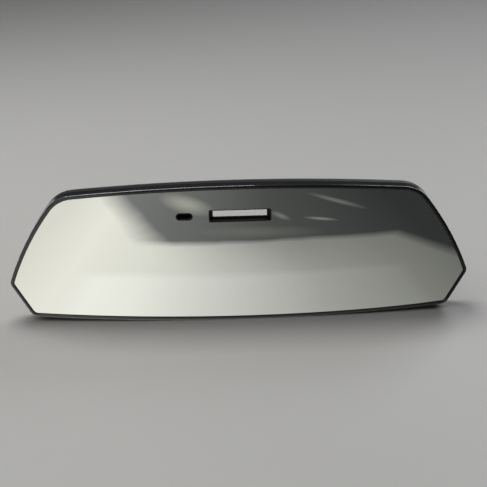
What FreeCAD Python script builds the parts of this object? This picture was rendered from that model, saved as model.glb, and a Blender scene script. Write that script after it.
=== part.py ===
"""Clip-on interior rearview mirror: a wide convex glass in a thin shell, held on a host mirror by two
sprung clips.  The outline is drawn in the XZ plane.  Depths are counted along +Y from the foremost point
of the lip, and every finished piece is moved forward by origin_depth, so the row's origin is the bottom
centre of the whole part."""
import FreeCAD, Part

import os
import re

import Sketcher

DIMENSIONS = {
    # outline of the shell, half of it, from the lowest point of the bottom edge
    "half_width": 135.4,
    "tip_height": 24.7,
    "top_corner_reach": 103.7,
    "top_corner_height": 78.4,
    "top_edge_rise": 5.1,
    "bottom_corner_reach": 123.6,
    "bottom_corner_height": 3.5,
    "side_arc_radius": 178.0,
    "top_corner_round": 20.0,
    "tip_round": 4.5,
    "bottom_corner_round": 5.5,
    # convex face and the layers behind it
    "face_radius": 1400.0,
    "face_centre_height": 42.1,
    "lip_width": 1.7,
    "glass_gap": 0.2,
    "sheet_inset": 4.0,
    "glass_front": 0.4,
    "glass_back": 2.6,
    "sheet_back": 3.2,
    "plate_back": 6.0,
    "rim_depth": 12.7,
    "lip_outer_round": 0.6,
    "lip_inner_round": 0.35,
    "rim_rear_round": 1.4,
    "glass_bevel": 0.8,
    # stiffening ribs behind the plate
    "rib_thickness": 1.2,
    "rib_back": 8.3,
    "rib_root": 4.6,
    # display window and light-sensor window
    "window_height": 65.7,
    "display_across": 0.85,
    "display_width": 35.7,
    "display_height": 7.5,
    "display_corner_round": 1.0,
    "window_fit": 0.1,
    "window_wall": 0.45,
    "bezel_width": 31.1,
    "bezel_bottom": 63.55,
    "bezel_top": 68.5,
    "bezel_front": 4.6,
    "bezel_back": 6.2,
    "window_front": 0.9,
    "window_seat": 7.2,
    "window_flange_back": 8.4,
    "window_flange_lip": 2.6,
    "sensor_reach": 31.0,
    "sensor_width": 9.8,
    "sensor_height": 4.5,
    "shroud_back": 19.6,
    # clip rail and its cover
    "clip_offset": 62.0,
    "rail_front": 9.2,
    "rail_back": 17.4,
    "rail_half_width": 19.0,
    "rail_bottom": 7.0,
    "rail_top": 61.0,
    "seat_wall": 1.8,
    "seat_post_radius": 4.3,
    "channel_half_width": 10.2,
    "channel_floor": 14.6,
    "leg_seat": 15.0,
    "leg_seat_top": 16.2,
    "pocket_half_width": 3.1,
    "pocket_floor": 10.4,
    "pocket_bottom": 9.5,
    "pocket_top": 59.6,
    "cover_back": 18.4,
    "cover_bottom": 17.0,
    "cover_top": 60.0,
    "pad_inner": 11.2,
    "pad_outer": 18.4,
    "pad_bottom": 27.0,
    "pad_top": 50.0,
    "host_plane": 20.0,
    # fasteners
    "rail_screw_reach": 14.6,
    "rail_screw_low": 22.0,
    "rail_screw_high": 55.0,
    "rail_screw_radius": 1.25,
    "rail_screw_tip": 6.6,
    "rail_screw_clearance": 1.45,
    "rail_screw_head_radius": 2.5,
    "rail_screw_head_height": 1.3,
    "hook_screw_reach": 6.5,
    "hook_screw_height": 10.2,
    "hook_screw_radius": 1.1,
    "hook_screw_tip": 12.2,
    "hook_screw_clearance": 1.25,
    "hook_screw_head_radius": 2.1,
    "hook_screw_head_height": 1.2,
    # lower hook
    "arm_half_width": 9.9,
    "leg_top": 16.0,
    "shelf_thickness": 3.0,
    "hook_back": 47.8,
    "hook_lip_thickness": 2.4,
    "hook_lip_height": 11.0,
    "bend_round": 2.2,
    "strip_edge_round": 0.8,
    "notch_gap": 0.5,
    "rubber": 1.2,
    "sleeve_front": 20.4,
    "sleeve_underside": 0.6,
    # sliding upper arm
    "strap_front": 14.9,
    "strap_back": 17.1,
    "strap_bottom": 18.0,
    "arm_underside": 62.0,
    "arm_end": 43.0,
    "arm_sleeve_end": 41.5,
    "arm_heel_round": 2.0,
    # pivot of the upper claw
    "pivot_depth": 46.0,
    "pivot_height": 63.5,
    "ear_radius": 2.5,
    "ear_thickness": 3.5,
    "pin_radius": 1.25,
    "pin_head_radius": 2.0,
    "pin_head_height": 0.7,
    "claw_bore_radius": 1.32,
    "knuckle_radius": 2.4,
    "knuckle_left": 3.4,
    "knuckle_right": 6.1,
    "blade_half_thickness": 1.1,
    "blade_top": 60.4,
    "blade_bottom": 52.0,
    "blade_end_round": 0.9,
    "grip_top": 59.6,
    # springs and the pins they hook on
    "spring_depth": 12.5,
    "spring_radius": 1.8,
    "spring_bore": 1.2,
    "anchor_height": 13.5,
    "anchor_radius": 0.8,
    "anchor_half_length": 13.0,
    "post_height": 34.0,
    "post_radius": 1.2,
    "post_front": 11.4,
    "coil_left": 6.1,
    "coil_right": 3.7,
    "coil_bore": 1.45,
    "coil_radius": 2.05,
    "coil_leg_front": 41.8,
    "coil_wire": 0.6,
    # middle of the total depth, from the crown of the glass to the back of the lower hook's sleeve
    "origin_depth": 24.7,
}
LEFT, RIGHT = -1, 1
SIDE_NAMES = {LEFT: "left", RIGHT: "right"}
RIB_HEIGHTS = (19.0, 45.0)
RIB_REACHES = (22.0, 37.0, 98.0)
WINDOW_SEAT_END = "display_across + display_width / 2 + window_flange_lip + 0.4"
BIG = 400.0

doc = FreeCAD.newDocument("clip_on_mirror")
finished = []


# ---------------------------------------------------------------- sheet and expressions

def make_sheet():
    """Writes every driving dimension into the spreadsheet, one aliased cell each."""
    sheet = doc.addObject("Spreadsheet::Sheet", "Dimensions")
    for row, (alias, value) in enumerate(DIMENSIONS.items(), start=1):
        sheet.set(f"A{row}", alias.replace("_", " "))
        sheet.set(f"B{row}", str(value))
        sheet.setAlias(f"B{row}", alias)
    doc.recompute()


def formula(text):
    """Turns a formula in plain aliases into an expression on the sheet."""
    return re.sub(r"[a-z][a-z_]+", lambda word: f"Dimensions.{word[0]}" if word[0] in DIMENSIONS else word[0],
                  str(text))


def value_of(text):
    """The number that a formula in aliases comes to."""
    numbers = re.sub(r"[a-z][a-z_]+", lambda word: str(DIMENSIONS[word[0]]), str(text))
    total = doc.Dimensions.evalExpression(numbers)
    return float(total)


def bind(item, **formulas):
    """Binds properties to formulas; a double underscore in a name stands for a dot."""
    for name, text in formulas.items():
        item.setExpression(name.replace("__", "."), formula(text))
    return item


def put(item, across="0", depth="0", height="0"):
    """Places an object by formulas for X, depth (Y) and Z."""
    return bind(item, Placement__Base__x=across, Placement__Base__y=depth, Placement__Base__z=height)


def finish(item, label, side=0):
    """Names a finished piece and moves it to its place in the row's frame."""
    item.Label = label
    put(item, across=f"{side} * clip_offset", depth="-origin_depth")
    finished.append(item)
    return item


def tagged(name, side):
    """A piece's name with its side."""
    return f"{name}_{SIDE_NAMES[side]}"


# ---------------------------------------------------------------- Part primitives and booleans

def box(name, left, right, front, back, bottom, top):
    """A block between six planes."""
    block = doc.addObject("Part::Box", name)
    bind(block, Length=f"({right}) - ({left})", Width=f"({back}) - ({front})", Height=f"({top}) - ({bottom})")
    return put(block, left, front, bottom)


def rod_across(name, left, right, depth, height, radius):
    """A cylinder along X."""
    rod = doc.addObject("Part::Cylinder", name)
    rod.Placement.Rotation = FreeCAD.Rotation(FreeCAD.Vector(0, 1, 0), 90)
    bind(rod, Radius=radius, Height=f"({right}) - ({left})")
    return put(rod, left, depth, height)


def rod_back(name, across, height, front, back, radius):
    """A cylinder along +Y."""
    rod = doc.addObject("Part::Cylinder", name)
    rod.Placement.Rotation = FreeCAD.Rotation(FreeCAD.Vector(1, 0, 0), -90)
    bind(rod, Radius=radius, Height=f"({back}) - ({front})")
    return put(rod, across, front, height)


def rod_up(name, depth, bottom, top, radius):
    """A cylinder along +Z."""
    rod = doc.addObject("Part::Cylinder", name)
    bind(rod, Radius=radius, Height=f"({top}) - ({bottom})")
    return put(rod, "0", depth, bottom)


def ball(name, depth):
    """The ball whose surface lies a given depth behind the convex face."""
    sphere = doc.addObject("Part::Sphere", name)
    bind(sphere, Radius=f"face_radius - ({depth})")
    return put(sphere, "0", "face_radius", "face_centre_height")


def cut(name, base, tool):
    """Base without tool."""
    result = doc.addObject("Part::Cut", name)
    result.Base, result.Tool = base, tool
    return result


def common(name, base, tool):
    """What base and tool share."""
    result = doc.addObject("Part::Common", name)
    result.Base, result.Tool = base, tool
    return result


def fuse(name, items):
    """All the items as one solid."""
    result = doc.addObject("Part::MultiFuse", name)
    result.Shapes = items
    result.Refine = True
    return result


def group(name, items):
    """Separate solids kept together as one node."""
    result = doc.addObject("Part::Compound", name)
    result.Links = items
    return result


def slot_prism(name, across, width, height, front, back):
    """A prism with half-round ends, across the window line."""
    radius = f"({height}) / 2"
    reach = f"(({width}) - ({height})) / 2"
    ends = [rod_back(f"{name}_end_{side + 1}", f"({across}) + {side} * {reach}", "window_height", front, back,
                     radius) for side in (LEFT, RIGHT)]
    middle = box(f"{name}_middle", f"({across}) - {reach}", f"({across}) + {reach}", front, back,
                 f"window_height - {radius}", f"window_height + {radius}")
    return fuse(name, [middle] + ends)


def edge_round(name, base, picks, kind="Part::Fillet"):
    """Rounds or bevels the edges that picks gives as a mapping of edge to size."""
    doc.recompute()
    result = doc.addObject(kind, name)
    result.Base = base
    result.Edges = [(number, size, size) for number, edge in enumerate(base.Shape.Edges, start=1)
                    for size in [picks(edge)] if size]
    return result


# ---------------------------------------------------------------- sketches and bodies

def polygon(sketch, points):
    """Draws a closed polygon whose corners are bound to formulas."""
    corners = [FreeCAD.Vector(value_of(across), value_of(up), 0) for across, up in points]
    edges = [sketch.addGeometry(Part.LineSegment(start, end), False)
             for start, end in zip(corners, corners[1:] + corners[:1])]
    for edge, after in zip(edges, edges[1:] + edges[:1]):
        sketch.addConstraint(Sketcher.Constraint("Coincident", edge, 2, after, 1))
    for edge, corner, (across, up) in zip(edges, corners, points):
        pin_point(sketch, edge, 1, corner, across, up)


def pin_point(sketch, edge, end, point, across, up):
    """Ties one point of a sketch to formulas for its two coordinates."""
    for kind, number, text in (("DistanceX", point.x, across), ("DistanceY", point.y, up)):
        tie = sketch.addConstraint(Sketcher.Constraint(kind, -1, 1, edge, end, number))
        sketch.setExpression(f"Constraints[{tie}]", formula(text))


def circle(sketch, across, up, radius):
    """Draws a circle whose centre and radius are bound to formulas."""
    centre = FreeCAD.Vector(value_of(across), value_of(up), 0)
    ring = sketch.addGeometry(Part.Circle(centre, FreeCAD.Vector(0, 0, 1), value_of(radius)), False)
    pin_point(sketch, ring, 3, centre, across, up)
    tie = sketch.addConstraint(Sketcher.Constraint("Radius", ring, value_of(radius)))
    sketch.setExpression(f"Constraints[{tie}]", formula(radius))


def rectangle(left, right, bottom, top):
    """The corners of a rectangle."""
    return [(left, bottom), (right, bottom), (right, top), (left, top)]


def new_body(name):
    """An empty PartDesign body."""
    return doc.addObject("PartDesign::Body", name)


def plane_sketch(body, name, role, shift):
    """A sketch on one of the body's origin planes, moved along the plane's normal by a formula."""
    sketch = body.newObject("Sketcher::SketchObject", name)
    plane = next(item for item in body.Origin.OriginFeatures if item.Role == role)
    sketch.AttachmentSupport = [(plane, "")]
    sketch.MapMode = "FlatFace"
    sketch.setExpression("AttachmentOffset.Base.z", formula(shift))
    return sketch


def add_slab(body, name, front, back, draw):
    """Pads what draw sketches in the XZ plane, from one depth to another."""
    sketch = plane_sketch(body, f"{name}_sketch", "XZ_Plane", f"-({back})")
    draw(sketch)
    pad = body.newObject("PartDesign::Pad", name)
    pad.Profile = sketch
    return bind(pad, Length=f"({back}) - ({front})")


def cut_slab(body, name, front, back, draw):
    """Pockets what draw sketches in the XZ plane, from one depth to another, and checks that it cut."""
    before = measured(body)
    sketch = plane_sketch(body, f"{name}_sketch", "XZ_Plane", f"-({back})")
    draw(sketch)
    pocket = body.newObject("PartDesign::Pocket", name)
    pocket.Profile = sketch
    pocket.Reversed = True
    bind(pocket, Length=f"({back}) - ({front})")
    must_be_less(body, before, name)


def add_run(body, name, left, right, draw):
    """Pads what draw sketches in the YZ plane, from one X to another."""
    sketch = plane_sketch(body, f"{name}_sketch", "YZ_Plane", left)
    draw(sketch)
    pad = body.newObject("PartDesign::Pad", name)
    pad.Profile = sketch
    return bind(pad, Length=f"({right}) - ({left})")


def cut_run(body, name, left, right, draw):
    """Pockets what draw sketches in the YZ plane, from one X to another, and checks that it cut."""
    before = measured(body)
    sketch = plane_sketch(body, f"{name}_sketch", "YZ_Plane", left)
    draw(sketch)
    pocket = body.newObject("PartDesign::Pocket", name)
    pocket.Profile = sketch
    pocket.Reversed = True
    bind(pocket, Length=f"({right}) - ({left})")
    must_be_less(body, before, name)


def measured(body):
    """The body's volume so far."""
    doc.recompute()
    return body.Shape.Volume


def must_be_less(body, before, name):
    """Stops when a pocket took nothing away."""
    if measured(body) >= before - 1e-6:
        raise RuntimeError(f"{name} cuts nothing")


def round_edges(body, name, radius, wanted):
    """Fillets the body's edges that pass a test."""
    doc.recompute()
    names = [f"Edge{number}" for number, edge in enumerate(body.Tip.Shape.Edges, start=1) if wanted(edge)]
    fillet = body.newObject("PartDesign::Fillet", name)
    fillet.Base = (body.Tip if body.Tip is not fillet else fillet.BaseFeature, names)
    return bind(fillet, Radius=radius)


def runs_along(edge, axis):
    """Whether an edge is straight and parallel to X (0), Y (1) or Z (2)."""
    if edge.Curve.TypeId != "Part::GeomLine":
        return False
    return abs(edge.Curve.Direction[axis]) > 0.999


# ---------------------------------------------------------------- shell, glass and bonding sheet

def draw_outline():
    """The shell's outline: arched top and bottom edges, bulged upper sides and straight lower sides."""
    outline = doc.addObject("Sketcher::SketchObject", "outline")
    outline.Placement.Rotation = FreeCAD.Rotation(FreeCAD.Vector(1, 0, 0), 90)
    sizes = DIMENSIONS
    bottom = FreeCAD.Vector(sizes["bottom_corner_reach"], sizes["bottom_corner_height"], 0)
    tip = FreeCAD.Vector(sizes["half_width"], sizes["tip_height"], 0)
    top = FreeCAD.Vector(sizes["top_corner_reach"], sizes["top_corner_height"], 0)
    apex = FreeCAD.Vector(0, sizes["top_corner_height"] + sizes["top_edge_rise"], 0)
    chord = top - tip
    bulge = chord.Length ** 2 / (8 * sizes["side_arc_radius"])
    side = (top + tip) / 2 + FreeCAD.Vector(chord.y, -chord.x, 0).normalize() * bulge
    mirror = [FreeCAD.Vector(-point.x, point.y, 0) for point in (bottom, tip, side, top)]
    edges = outline.addGeometry([
        Part.Arc(mirror[0], FreeCAD.Vector(), bottom),
        Part.LineSegment(bottom, tip),
        Part.Arc(tip, side, top),
        Part.Arc(top, apex, mirror[3]),
        Part.Arc(mirror[3], mirror[2], mirror[1]),
        Part.LineSegment(mirror[1], mirror[0]),
    ], False)
    for edge, after in zip(edges, edges[1:] + edges[:1]):
        outline.addConstraint(Sketcher.Constraint("Coincident", edge, 2, after, 1))
    for edge, point, across, up in (
            (1, bottom, "bottom_corner_reach", "bottom_corner_height"),
            (2, tip, "half_width", "tip_height"),
            (3, top, "top_corner_reach", "top_corner_height"),
            (4, mirror[3], "-top_corner_reach", "top_corner_height"),
            (5, mirror[1], "-half_width", "tip_height"),
            (0, mirror[0], "-bottom_corner_reach", "bottom_corner_height")):
        pin_point(outline, edges[edge], 1, point, across, up)
    arc_radius = "({reach} ^ 2 + {rise} ^ 2) / (2 * {rise})"
    for edge, text in ((0, arc_radius.format(reach="bottom_corner_reach", rise="bottom_corner_height")),
                       (2, "side_arc_radius"),
                       (3, arc_radius.format(reach="top_corner_reach", rise="top_edge_rise")),
                       (4, "side_arc_radius")):
        start = value_of(text)
        tie = outline.addConstraint(Sketcher.Constraint("Radius", edges[edge], start))
        outline.setExpression(f"Constraints[{tie}]", formula(text))
    return outline


def prism(outline, name, inset):
    """The outline, drawn in by an inset, run back along +Y with its six corners rounded."""
    profile = outline
    if inset != "0":
        profile = doc.addObject("Part::Offset2D", f"{name}_outline")
        profile.Source = outline
        profile.Join = "Intersection"
        bind(profile, Value=f"-({inset})")
    run = doc.addObject("Part::Extrusion", f"{name}_run")
    run.Base = profile
    run.DirMode = "Custom"
    run.Dir = FreeCAD.Vector(0, 1, 0)
    run.Solid = True
    bind(run, LengthFwd="2 * rim_depth", LengthRev="rim_depth")
    depth = value_of(inset)

    def corner_size(edge):
        if not runs_along(edge, 1):
            return 0
        height = edge.Vertexes[0].Point.z
        if height > (DIMENSIONS["tip_height"] + DIMENSIONS["top_corner_height"]) / 2:
            corner = DIMENSIONS["top_corner_round"]
        elif height > DIMENSIONS["tip_height"] / 2:
            corner = DIMENSIONS["tip_round"]
        else:
            corner = DIMENSIONS["bottom_corner_round"]
        return max(corner - depth, DIMENSIONS["lip_inner_round"])

    return edge_round(name, run, corner_size)


def lies_on_ball(edge, depth):
    """Whether an edge lies on the ball a given depth behind the face."""
    centre = FreeCAD.Vector(0, DIMENSIONS["face_radius"], DIMENSIONS["face_centre_height"])
    radius = DIMENSIONS["face_radius"] - depth
    return all(abs((edge.valueAt(at) - centre).Length - radius) < 0.01
               for at in (edge.FirstParameter, edge.LastParameter))


def on_outline(edge, outer_prism):
    """Whether an edge lies on the outside of the shell."""
    middle = edge.valueAt((edge.FirstParameter + edge.LastParameter) / 2)
    return outer_prism.Shape.distToShape(Part.Vertex(middle))[0] < 0.01 and not outer_prism.Shape.isInside(
        middle, 0.01, False)


def window_cutters(name, front, back, fit="0"):
    """The two window holes: a rounded rectangle for the display and a slot for the light sensor."""
    width, height = f"(display_width + 2 * ({fit}))", f"(display_height + 2 * ({fit}))"
    square = box(f"{name}_display_block", f"display_across - {width} / 2", f"display_across + {width} / 2", front, back,
                 f"window_height - {height} / 2", f"window_height + {height} / 2")
    display = edge_round(f"{name}_display", square,
                         lambda edge: DIMENSIONS["display_corner_round"] if runs_along(edge, 1) else 0)
    sensor = slot_prism(f"{name}_sensor", "-sensor_reach", f"sensor_width + 2 * ({fit})",
                        f"sensor_height + 2 * ({fit})", front, back)
    return group(name, [display, sensor])


def clip_seat(side):
    """The walled seat with four screw posts on which a clip rail lies."""
    name = f"seat_{SIDE_NAMES[side]}"
    centre = f"{side} * clip_offset"
    outer = box(f"{name}_outer", f"{centre} - rail_half_width", f"{centre} + rail_half_width", "sheet_back",
                "rail_front", "rail_bottom", "rail_top")
    inner = box(f"{name}_inner", f"{centre} - rail_half_width + seat_wall",
                f"{centre} + rail_half_width - seat_wall", "0", "rim_depth", "rail_bottom + seat_wall",
                "rail_top - seat_wall")
    posts = [rod_back(f"{name}_post_{column + 1}_{row}", f"{centre} + {column} * rail_screw_reach", row,
                      "sheet_back", "rail_front", "seat_post_radius")
             for column in (LEFT, RIGHT) for row in ("rail_screw_low", "rail_screw_high")]
    return [cut(f"{name}_wall", outer, inner)] + posts


def rear_shell(outline):
    """One moulding: the rim, the plate that carries the glass, ribs, clip seats and the window seat."""
    outer = prism(outline, "shell_outer", "0")
    inner = prism(outline, "shell_inner", "lip_width")
    slab = cut("shell_slab", common("shell_face", outer, ball("face_ball", "0")), ball("rear_ball", "rim_depth"))
    recess = cut("glass_recess", inner, ball("plate_ball", "sheet_back"))
    cavity = common("rear_cavity", inner, ball("cavity_ball", "plate_back"))
    tray = cut("tray_open_back", cut("tray_open_front", slab, recess), cavity)
    doc.recompute()

    def rim_size(edge):
        if lies_on_ball(edge, 0):
            return DIMENSIONS["lip_outer_round" if on_outline(edge, outer) else "lip_inner_round"]
        if lies_on_ball(edge, DIMENSIONS["rim_depth"]) and on_outline(edge, outer):
            return DIMENSIONS["rim_rear_round"]
        return 0

    rim = edge_round("rim", tray, rim_size)
    bars = [box(f"rib_row_{number}", "-half_width", "half_width", "0", "rim_depth", f"{height} - rib_thickness / 2",
                f"{height} + rib_thickness / 2") for number, height in enumerate(RIB_HEIGHTS)]
    bars += [box(f"rib_column_{number}_{side + 1}", f"{side * reach} - rib_thickness / 2",
                 f"{side * reach} + rib_thickness / 2", "0", "rim_depth", "0", "top_corner_height + top_edge_rise")
             for number, reach in enumerate(RIB_REACHES) for side in (LEFT, RIGHT)]
    layer = cut("rib_layer", common("rib_space", inner, ball("rib_root_ball", "rib_root")),
                ball("rib_crest_ball", "rib_back"))
    ribs = common("ribs", layer, fuse("rib_bars", bars))
    window_seat = box("window_seat", "-sensor_reach - sensor_width", WINDOW_SEAT_END, "sheet_back", "window_seat",
                      "window_height - display_height", "window_height + display_height")
    seats = [item for side in (LEFT, RIGHT) for item in clip_seat(side)]
    seat_block = common("seats", fuse("seat_blocks", seats + [window_seat]),
                        common("seat_space", inner_copy(outline), ball("seat_ball", "rib_root")))
    moulded = fuse("moulded", [rim, ribs, seat_block])
    pilots = [rod_back(f"pilot_{side + 1}_{column + 1}_{row}",
                       f"{side} * clip_offset + {column} * rail_screw_reach", row, "rail_screw_tip", "rim_depth",
                       "rail_screw_radius")
              for side in (LEFT, RIGHT) for column in (LEFT, RIGHT) for row in ("rail_screw_low", "rail_screw_high")]
    holes = group("shell_holes", [window_cutters("shell_windows", "0", "rim_depth")] + pilots)
    clear = fuse("seat_clearance", [seat_clearance()] + [item for side in (LEFT, RIGHT)
                                                         for item in clip_clearance(side)])
    finish(cut("rear_shell", cut("shell_cleared", moulded, clear), holes), "rear_shell")


def seat_clearance():
    """The room behind the window seat that the ribs leave free."""
    return box("window_room", "-sensor_reach - sensor_width", WINDOW_SEAT_END, "window_seat",
               "rim_depth + rib_back", "window_height - display_height", "window_height + display_height")


def clip_clearance(side):
    """The room for a clip rail behind its seat, and shallow notches in the rim for the hook and the arm."""
    name = f"clip_room_{SIDE_NAMES[side]}"
    centre = f"{side} * clip_offset"
    rail_room = box(name, f"{centre} - rail_half_width - seat_wall", f"{centre} + rail_half_width + seat_wall",
                    "rail_front", "rim_depth + rib_back", "rail_bottom - seat_wall", "rail_top + seat_wall")
    left, right = f"{centre} - arm_half_width - notch_gap", f"{centre} + arm_half_width + notch_gap"
    hook_notch = box(f"{name}_hook_notch", left, right, "leg_seat - notch_gap", "rim_depth + rib_back",
                     "-rail_bottom", "rail_bottom")
    arm_notch = box(f"{name}_arm_notch", left, right, "strap_front - notch_gap", "rim_depth + rib_back",
                    "rail_top", "top_corner_height + rail_bottom")
    return [rail_room, hook_notch, arm_notch]


def inner_copy(outline):
    """A second prism of the shell's inside, for the seats."""
    return prism(outline, "seat_bounds", "lip_width")


def mirror_glass(outline):
    """The convex mirror, bevelled along its front edge, with the two window holes."""
    blank = cut("glass_blank", common("glass_face", prism(outline, "glass_prism", "lip_width + glass_gap"),
                                      ball("glass_front_ball", "glass_front")),
                ball("glass_back_ball", "glass_back"))
    front = DIMENSIONS["glass_front"]
    bevelled = edge_round("glass_bevelled", blank,
                          lambda edge: DIMENSIONS["glass_bevel"] if lies_on_ball(edge, front) else 0,
                          kind="Part::Chamfer")
    finish(cut("mirror_glass", bevelled, window_cutters("glass_windows", "-1", "rim_depth")), "mirror_glass")


def glass_bonding_sheet(outline):
    """The double-sided foam sheet between the glass and the plate."""
    sheet = cut("sheet_blank", common("sheet_face", prism(outline, "sheet_prism", "sheet_inset"),
                                      ball("sheet_front_ball", "glass_back")),
                ball("sheet_back_ball", "sheet_back"))
    finish(cut("glass_bonding_sheet", sheet, window_cutters("sheet_windows", "-1", "rim_depth", "window_wall")),
           "glass_bonding_sheet")


# ---------------------------------------------------------------- windows

def window_corners(width, height):
    """The corners of a rectangle centred on the display window."""
    return rectangle(f"display_across - ({width}) / 2", f"display_across + ({width}) / 2",
                     f"window_height - ({height}) / 2", f"window_height + ({height}) / 2")


def display_window_frame():
    """A rectangular well through glass and shell, with a narrower bezel and a flange at its back."""
    body = new_body("display_window_frame")
    width, height = "display_width - 2 * window_fit", "display_height - 2 * window_fit"
    add_slab(body, "well", "window_front", "window_flange_back",
             lambda sketch: polygon(sketch, window_corners(width, height)))
    round_edges(body, "well_corners", "display_corner_round - window_fit", lambda edge: runs_along(edge, 1))
    add_slab(body, "flange", "window_seat", "window_flange_back",
             lambda sketch: polygon(sketch, window_corners(f"{width} + 2 * window_flange_lip",
                                                           f"{height} + 2 * window_flange_lip")))
    inside = window_corners(f"{width} - 2 * window_wall", f"{height} - 2 * window_wall")
    cut_slab(body, "front_well", "window_front", "bezel_front", lambda sketch: polygon(sketch, inside))
    cut_slab(body, "rear_well", "bezel_back", "window_flange_back", lambda sketch: polygon(sketch, inside))
    cut_slab(body, "view", "bezel_front", "bezel_back",
             lambda sketch: polygon(sketch, rectangle("display_across - bezel_width / 2",
                                                      "display_across + bezel_width / 2", "bezel_bottom",
                                                      "bezel_top")))
    finish(body, "display_window_frame")


def sensor_shroud():
    """A slot-shaped light tube from the sensor window to the host's own sensor."""
    width, height = "sensor_width - 2 * window_fit", "sensor_height - 2 * window_fit"
    tube = slot_prism("shroud_tube", "-sensor_reach", width, height, "window_front", "shroud_back")
    flange = slot_prism("shroud_flange", "-sensor_reach", f"{width} + 2 * window_flange_lip",
                        f"{height} + 2 * window_flange_lip", "window_seat", "window_flange_back")
    bore = slot_prism("shroud_bore", "-sensor_reach", f"{width} - 2 * window_wall",
                      f"{height} - 2 * window_wall", "0", "host_plane")
    finish(cut("sensor_shroud", fuse("shroud_body", [tube, flange]), bore), "sensor_shroud")


# ---------------------------------------------------------------- fixed parts of a clip

def screw(name, across, height, seat, tip, radius, head_radius, head_height):
    """A pan-head screw with a cross recess, driven forward from the back."""
    head = rod_back(f"{name}_head", across, height, seat, f"{seat} + {head_height}", head_radius)
    domed = edge_round(f"{name}_domed", head,
                       lambda edge: value_of(head_height) / 2
                       if edge.CenterOfMass.y > value_of(f"{seat} + {head_height}") - 0.01 else 0)
    shank = rod_back(f"{name}_shank", across, height, tip, f"{seat} + {head_height} / 2", radius)
    arm, slot = f"{head_radius} * 0.62", f"{head_radius} * 0.13"
    recess = [box(f"{name}_recess_{turn}", f"{across} - {wide}", f"{across} + {wide}",
                  f"{seat} + {head_height} * 0.4", f"{seat} + {head_height} + 1", f"{height} - {tall}",
                  f"{height} + {tall}") for turn, (wide, tall) in enumerate(((arm, slot), (slot, arm)))]
    return cut(name, fuse(f"{name}_blank", [domed, shank]), fuse(f"{name}_cross", recess))


def rail_screw_spots():
    """The four places of a rail's screws, as formulas for X and Z."""
    return [(f"{column} * rail_screw_reach", row) for row in ("rail_screw_low", "rail_screw_high")
            for column in (LEFT, RIGHT)]


def hook_screw_spots():
    """The two places of a lower hook's screws."""
    return [(f"{column} * hook_screw_reach", "hook_screw_height") for column in (LEFT, RIGHT)]


def circles(spots, radius):
    """A drawing of equal circles."""
    def draw(sketch):
        for across, up in spots:
            circle(sketch, across, up, radius)
    return draw


def clip_rail(side):
    """The moulded rail that guides the sliding arm and houses its spring."""
    body = new_body(tagged("rail", side))
    add_slab(body, "rail_block", "rail_front", "rail_back", lambda sketch: polygon(
        sketch, rectangle("-rail_half_width", "rail_half_width", "rail_bottom", "rail_top")))
    round_edges(body, "rail_corners", "seat_wall", lambda edge: runs_along(edge, 1))
    cut_slab(body, "channel", "channel_floor", "rail_back", lambda sketch: polygon(
        sketch, rectangle("-channel_half_width", "channel_half_width", "leg_seat_top", "rail_top + 1")))
    cut_slab(body, "leg_recess", "leg_seat", "rail_back", lambda sketch: polygon(
        sketch, rectangle("-channel_half_width", "channel_half_width", "rail_bottom - 1", "leg_seat_top")))
    cut_slab(body, "spring_pocket", "pocket_floor", "leg_seat", lambda sketch: polygon(
        sketch, rectangle("-pocket_half_width", "pocket_half_width", "pocket_bottom", "pocket_top")))
    cut_slab(body, "rail_screw_holes", "rail_front - 1", "rail_back",
             circles(rail_screw_spots(), "rail_screw_clearance"))
    cut_slab(body, "hook_screw_holes", "hook_screw_tip", "leg_seat",
             circles(hook_screw_spots(), "hook_screw_radius"))
    cut_run(body, "anchor_bore", "-anchor_half_length", "anchor_half_length",
            lambda sketch: circle(sketch, "spring_depth", "anchor_height", "anchor_radius"))
    finish(body, tagged("clip_rail", side), side)


def rail_cover(side):
    """The steel plate that closes the rail's channel."""
    body = new_body(tagged("cover", side))
    add_slab(body, "cover_plate", "rail_back", "cover_back", lambda sketch: polygon(
        sketch, rectangle("-rail_half_width", "rail_half_width", "cover_bottom", "cover_top")))
    round_edges(body, "cover_corners", "seat_wall", lambda edge: runs_along(edge, 1))
    cut_slab(body, "cover_holes", "rail_back - 1", "cover_back", circles(rail_screw_spots(), "rail_screw_clearance"))
    finish(body, tagged("rail_cover", side), side)


def rail_screws(side):
    """The four screws through cover and rail into the shell's posts."""
    screws = [screw(f"{tagged('rail_screw', side)}_{number}", across, up, "cover_back", "rail_screw_tip",
                    "rail_screw_radius", "rail_screw_head_radius", "rail_screw_head_height")
              for number, (across, up) in enumerate(rail_screw_spots())]
    finish(group(tagged("rail_screw_set", side), screws), tagged("rail_screws", side), side)


def hook_screws(side):
    """The two screws that hold a lower hook on its rail."""
    screws = [screw(f"{tagged('hook_screw', side)}_{number}", across, up, "rail_back", "hook_screw_tip",
                    "hook_screw_radius", "hook_screw_head_radius", "hook_screw_head_height")
              for number, (across, up) in enumerate(hook_screw_spots())]
    finish(group(tagged("hook_screw_set", side), screws), tagged("hook_screws", side), side)


def host_pads(side):
    """The two foam strips on the cover that rest against the host mirror's face."""
    strips = [box(f"{tagged('pad', side)}_{column + 1}", f"{low} ", high, "cover_back", "host_plane", "pad_bottom",
                  "pad_top") for column, low, high in ((LEFT, "-pad_outer", "-pad_inner"),
                                                       (RIGHT, "pad_inner", "pad_outer"))]
    finish(group(tagged("pad_pair", side), strips), tagged("host_pads", side), side)


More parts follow.
